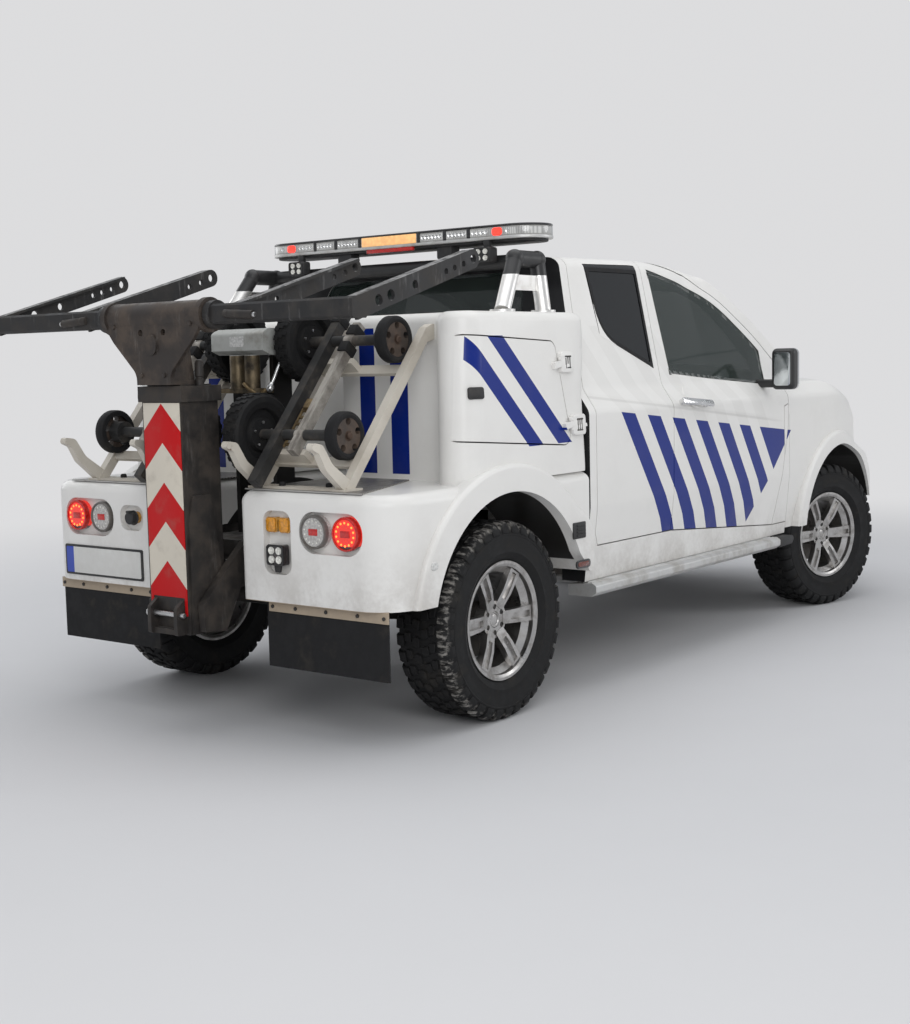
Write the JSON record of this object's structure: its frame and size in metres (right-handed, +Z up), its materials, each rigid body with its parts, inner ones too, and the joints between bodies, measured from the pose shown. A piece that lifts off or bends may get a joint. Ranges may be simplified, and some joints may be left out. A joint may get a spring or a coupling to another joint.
{
  "type": "tow truck",
  "caption": "Light breakdown truck on an extended-cab pickup: white locker pods, folded wheel lift with cradles, stowed dollies and roof light bar.",
  "frame": {"origin": "on the ground under the middle of the truck's length and width", "axes": "+X towards the front bumper, +Y to the driver's left, +Z up"},
  "size_m": [4.917, 2.14, 1.925],
  "materials": {
    "white_paint": "gloss white body paint",
    "white_grp": "gloss white glass-fibre",
    "black_steel": "black painted steel, weathered",
    "chassis_black": "satin black chassis paint",
    "cast_metal": "dirty cast metal",
    "alloy": "silver cast alloy",
    "tyre_rubber": "matt black tread rubber",
    "black_rubber": "black rubber sheet",
    "window_glass": "tinted glass",
    "lamp_glass": "clear lamp lens",
    "lamp_red": "red lamp lens",
    "black_plastic": "textured black plastic",
    "seat_cloth": "dark grey woven cloth",
    "chequer_plate": "rolled five-bar plate",
    "rack_paint": "worn off-white paint",
    "steel_bright": "bright steel rod",
    "winch_cover": "grey sheet cover"
  },
  "bodies": {
    "vehicle": {"chassis_frame": "chassis_black", "engine_block": "cast_metal", "driveline": "cast_metal", "rear_axle": "chassis_black", "front_suspension": "chassis_black", "fuel_tank": "black_plastic", "cab_shell": "white_paint", "cab_glass": "window_glass", "front_wings": "white_paint", "front_bumper": "white_paint", "grille": "black_plastic", "headlamps": "lamp_glass", "seats": "seat_cloth", "seat_frames": "black_plastic", "dashboard": "black_plastic", "steering_wheel": "black_plastic", "rear_body": "white_grp", "deck_plates": "chequer_plate", "dolly_racks": "rack_paint", "dolly_frames": "black_steel", "dolly_wheels": "tyre_rubber", "tail_lamps": "lamp_red", "mudflaps": "black_rubber", "roll_bar": "alloy", "light_bar": "black_plastic", "lift_frame": "black_steel", "winch": "winch_cover", "side_steps": "chequer_plate"},
    "steer_left": {"knuckle_left": "cast_metal"},
    "front_wheel_left": {"tyre_front_left": "tyre_rubber", "wheel_front_left": "alloy"},
    "rear_wheel_left": {"tyre_rear_left": "tyre_rubber", "wheel_rear_left": "alloy"},
    "front_door_body_left": {"front_door_left": "white_paint", "front_glass_left": "window_glass", "mirror_left": "white_paint"},
    "access_door_body_left": {"access_door_left": "white_paint", "access_glass_left": "window_glass"},
    "locker_door_body_left": {"locker_door_left": "white_grp"},
    "cradle_left": {"wheel_cradle_left": "black_steel"},
    "steer_right": {"knuckle_right": "cast_metal"},
    "front_wheel_right": {"tyre_front_right": "tyre_rubber", "wheel_front_right": "alloy"},
    "rear_wheel_right": {"tyre_rear_right": "tyre_rubber", "wheel_rear_right": "alloy"},
    "front_door_body_right": {"front_door_right": "white_paint", "front_glass_right": "window_glass", "mirror_right": "white_paint"},
    "access_door_body_right": {"access_door_right": "white_paint", "access_glass_right": "window_glass"},
    "locker_door_body_right": {"locker_door_right": "white_grp"},
    "cradle_right": {"wheel_cradle_right": "black_steel"},
    "bonnet_body": {"bonnet": "white_paint"},
    "mast": {"boom_outer": "black_steel"},
    "extension": {"boom_inner": "black_steel", "cross_head": "black_steel"},
    "ram_barrel": {"tilt_cylinder": "black_steel"},
    "ram_rod": {"tilt_rod": "steel_bright"}
  },
  "joints": [
    {"name": "steering_left", "type": "hinge", "parent": "vehicle", "child": "steer_left", "pos_m": [1.55, 0.665, 0.381], "axis": [0, 0, 1], "range_deg": [-20, 50]},
    {"name": "front_wheel_spin_left", "type": "hinge", "parent": "steer_left", "child": "front_wheel_left", "pos_m": [1.58106, 0.78091, 0.381], "axis": [0.2588, 0.9659, 0], "continuous": true},
    {"name": "rear_wheel_spin_left", "type": "hinge", "parent": "vehicle", "child": "rear_wheel_left", "pos_m": [-1.545, 0.785, 0.381], "axis": [0, 1, 0], "continuous": true},
    {"name": "front_door_hinge_left", "type": "hinge", "parent": "vehicle", "child": "front_door_body_left", "pos_m": [0.902, 0.932, 0.9], "axis": [0, 0, -1], "range_deg": [0, 65]},
    {"name": "access_door_hinge_left", "type": "hinge", "parent": "vehicle", "child": "access_door_body_left", "pos_m": [-0.957, 0.932, 0.9], "axis": [0, 0, 1], "range_deg": [0, 85]},
    {"name": "locker_hinge_left", "type": "hinge", "parent": "vehicle", "child": "locker_door_body_left", "pos_m": [-1.14412, 0.9276, 1.23], "axis": [0.2294, 0.0383, -0.9726], "range_deg": [0, 95]},
    {"name": "steering_right", "type": "hinge", "parent": "vehicle", "child": "steer_right", "pos_m": [1.55, -0.665, 0.381], "axis": [0, 0, 1], "range_deg": [-20, 50]},
    {"name": "front_wheel_spin_right", "type": "hinge", "parent": "steer_right", "child": "front_wheel_right", "pos_m": [1.51894, -0.78091, 0.381], "axis": [0.2588, 0.9659, 0], "continuous": true},
    {"name": "rear_wheel_spin_right", "type": "hinge", "parent": "vehicle", "child": "rear_wheel_right", "pos_m": [-1.545, -0.785, 0.381], "axis": [0, 1, 0], "continuous": true},
    {"name": "front_door_hinge_right", "type": "hinge", "parent": "vehicle", "child": "front_door_body_right", "pos_m": [0.902, -0.932, 0.9], "axis": [0, 0, 1], "range_deg": [0, 65]},
    {"name": "access_door_hinge_right", "type": "hinge", "parent": "vehicle", "child": "access_door_body_right", "pos_m": [-0.957, -0.932, 0.9], "axis": [0, 0, -1], "range_deg": [0, 85]},
    {"name": "locker_hinge_right", "type": "hinge", "parent": "vehicle", "child": "locker_door_body_right", "pos_m": [-1.14412, -0.9276, 1.23], "axis": [-0.2294, 0.0383, 0.9726], "range_deg": [0, 95]},
    {"name": "bonnet_hinge", "type": "hinge", "parent": "vehicle", "child": "bonnet_body", "pos_m": [1.34, 0, 1.19], "axis": [0, -1, 0], "range_deg": [0, 50]},
    {"name": "mast_tilt", "type": "hinge", "parent": "vehicle", "child": "mast", "pos_m": [-2.335, 0, 0.45], "axis": [0, -1, 0], "range_deg": [0, 92]},
    {"name": "boom_slide", "type": "slide", "parent": "mast", "child": "extension", "axis": [0, 0, 1], "range_m": [0, 0.45]},
    {"name": "cradle_fold_left", "type": "hinge", "parent": "extension", "child": "cradle_left", "pos_m": [-2.4, 0.6, 1.55], "axis": [0, -1, 0], "range_deg": [0, 74]},
    {"name": "cradle_fold_right", "type": "hinge", "parent": "extension", "child": "cradle_right", "pos_m": [-2.4, -0.6, 1.55], "axis": [0, -1, 0], "range_deg": [0, 74]},
    {"name": "ram_turn", "type": "hinge", "parent": "vehicle", "child": "ram_barrel", "pos_m": [-1.745, 0, 0.56], "axis": [0, -1, 0], "range_deg": [-4, 4]},
    {"name": "ram_stroke", "type": "slide", "parent": "ram_barrel", "child": "ram_rod", "axis": [-0.9991, 0, -0.0425], "range_m": [0, 0.215]}
  ],
  "couplings": [
    {"joint": "steering_left", "follows": "steering_right", "ratio": 1},
    {"joint": "ram_turn", "follows": "mast_tilt", "ratio": -0.0327},
    {"joint": "ram_stroke", "follows": "mast_tilt", "m_per_rad": 0.1331}
  ]
}
